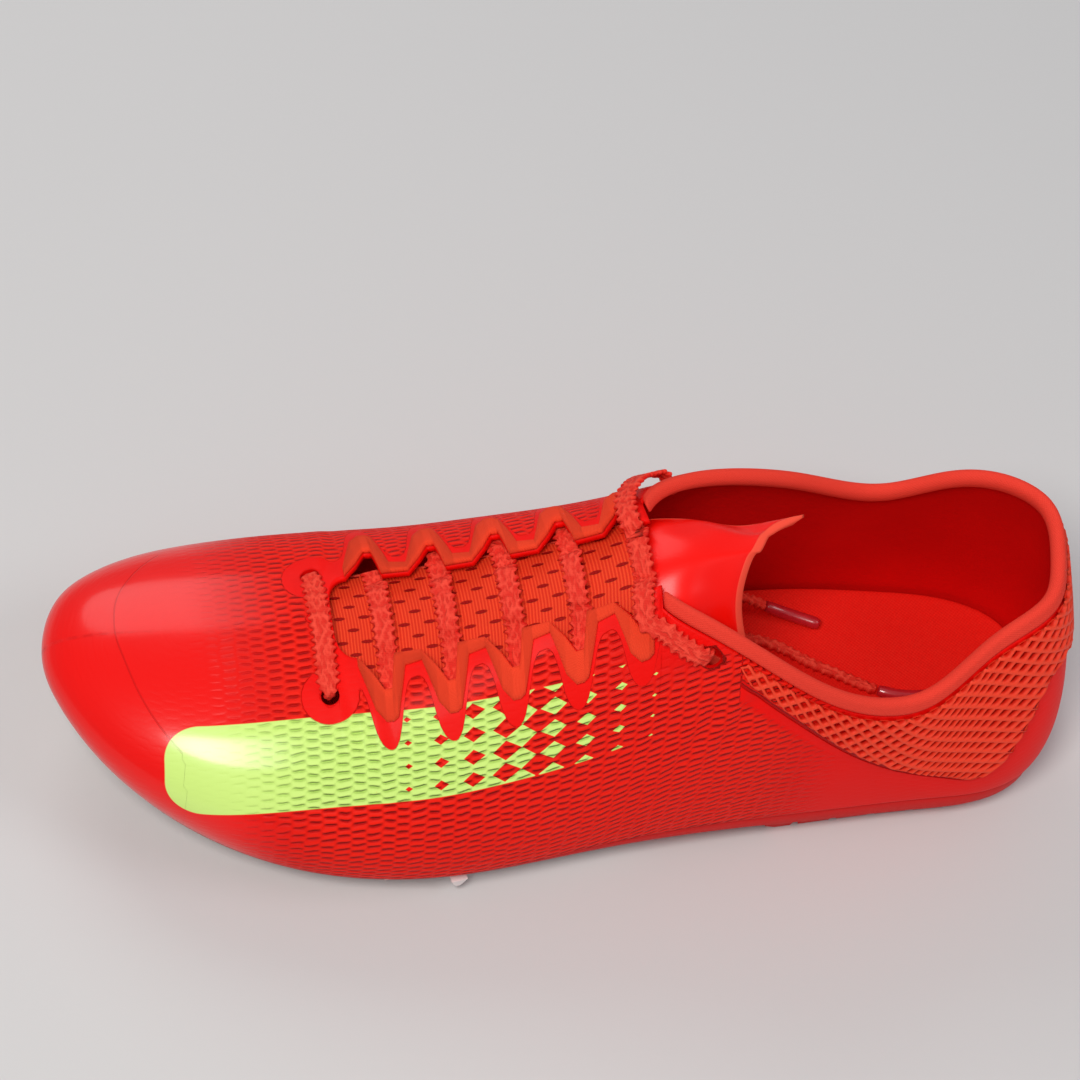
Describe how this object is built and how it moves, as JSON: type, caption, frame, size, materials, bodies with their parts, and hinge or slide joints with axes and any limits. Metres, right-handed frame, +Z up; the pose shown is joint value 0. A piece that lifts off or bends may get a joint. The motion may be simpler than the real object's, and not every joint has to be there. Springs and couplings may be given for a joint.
{
  "type": "track spike shoe",
  "caption": "Left running spike shoe: thin knit upper with notched lace edges, padded collar, slim foam, spike plate with steel pins and a flat heel pad.",
  "frame": {"origin": "on the floor, below the middle of the shoe's bounding box", "axes": "+X from heel to toe, +Y to the outer (lateral) side of this left shoe, +Z up"},
  "size_m": [0.2668, 0.0954, 0.0896],
  "materials": {
    "upper_knit": "red film-coated knit, smooth and glossy at the toe",
    "collar_knit": "matt orange-red knit",
    "heel_mesh": "raised diamond net",
    "tongue_mesh": "ribbed, perforated mesh",
    "insole_foam": "soft red textile",
    "midsole_foam": "red foam with a satin skin",
    "plate_plastic": "pale moulded plastic",
    "heel_rubber": "matt red rubber",
    "pin_steel": "plain turned steel",
    "lace_knit": "flat cord with bumpy edges",
    "lace_tip": "smooth dark red tip"
  },
  "bodies": {
    "root": {"upper": "upper_knit", "collar": "collar_knit", "eyestay_lateral": "collar_knit", "eyestay_medial": "collar_knit", "heel_net": "heel_mesh", "tongue": "tongue_mesh", "insole": "insole_foam", "midsole": "midsole_foam", "spike_plate": "plate_plastic", "spike_1": "pin_steel", "spike_2": "pin_steel", "spike_3": "pin_steel", "spike_4": "pin_steel", "spike_5": "pin_steel", "spike_6": "pin_steel", "spike_7": "pin_steel", "heel_outsole": "heel_rubber", "lace": "lace_knit", "lace_medial": "lace_knit", "lace_front": "lace_knit", "lace_end_lateral": "lace_knit", "lace_end_medial": "lace_knit", "lace_tip_lateral": "lace_tip", "lace_tip_medial": "lace_tip"}
  },
  "joints": []
}
